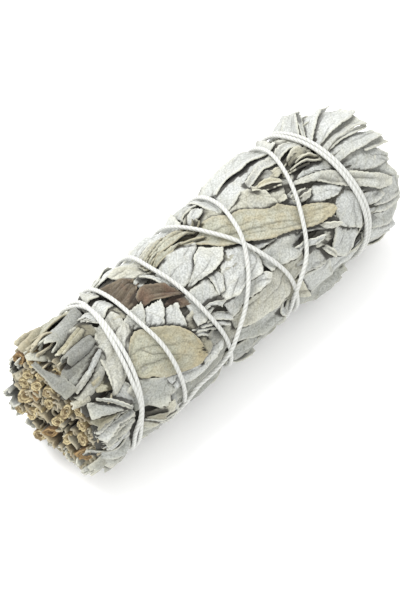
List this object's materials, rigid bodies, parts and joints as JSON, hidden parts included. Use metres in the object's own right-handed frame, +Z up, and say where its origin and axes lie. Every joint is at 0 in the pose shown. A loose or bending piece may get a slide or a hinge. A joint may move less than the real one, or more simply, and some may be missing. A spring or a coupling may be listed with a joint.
{
  "type": "sage smudge stick",
  "caption": "Bundle of dried white sage leaves with cut stems at one end and a fan of leaf tips at the other, wound along its length with white cotton string.",
  "frame": {"origin": "on the surface that the bundle lies on, under the middle of its length and width", "axes": "+X along the bundle from the cut stems to the leaf tips, +Z up"},
  "size_m": [0.1052, 0.0384, 0.0363],
  "materials": {
    "sage_leaf": "felted dry leaf, matte",
    "olive_leaf": "dry leaf, matte",
    "brown_leaf": "dry leaf, matte",
    "stem": "cut dry stem, matte",
    "cotton_string": "twisted cotton"
  },
  "bodies": {
    "root": {"sage_leaves": "sage_leaf", "olive_leaf_1": "olive_leaf", "olive_leaf_2": "olive_leaf", "olive_leaf_3": "olive_leaf", "olive_leaf_4": "olive_leaf", "brown_leaf_1": "brown_leaf", "brown_leaf_2": "brown_leaf", "stem_1": "stem", "stem_2": "stem", "stem_3": "stem", "stem_4": "stem", "stem_5": "stem", "stem_6": "stem", "stem_7": "stem", "stem_8": "stem", "stem_9": "stem", "stem_10": "stem", "stem_11": "stem", "stem_12": "stem", "stem_13": "stem", "stem_14": "stem", "stem_15": "stem", "stem_16": "stem", "stem_17": "stem", "stem_18": "stem", "stem_19": "stem", "stem_20": "stem", "stem_21": "stem", "stem_22": "stem", "stem_23": "stem", "stem_24": "stem", "stem_25": "stem", "cotton_string": "cotton_string"}
  },
  "joints": []
}
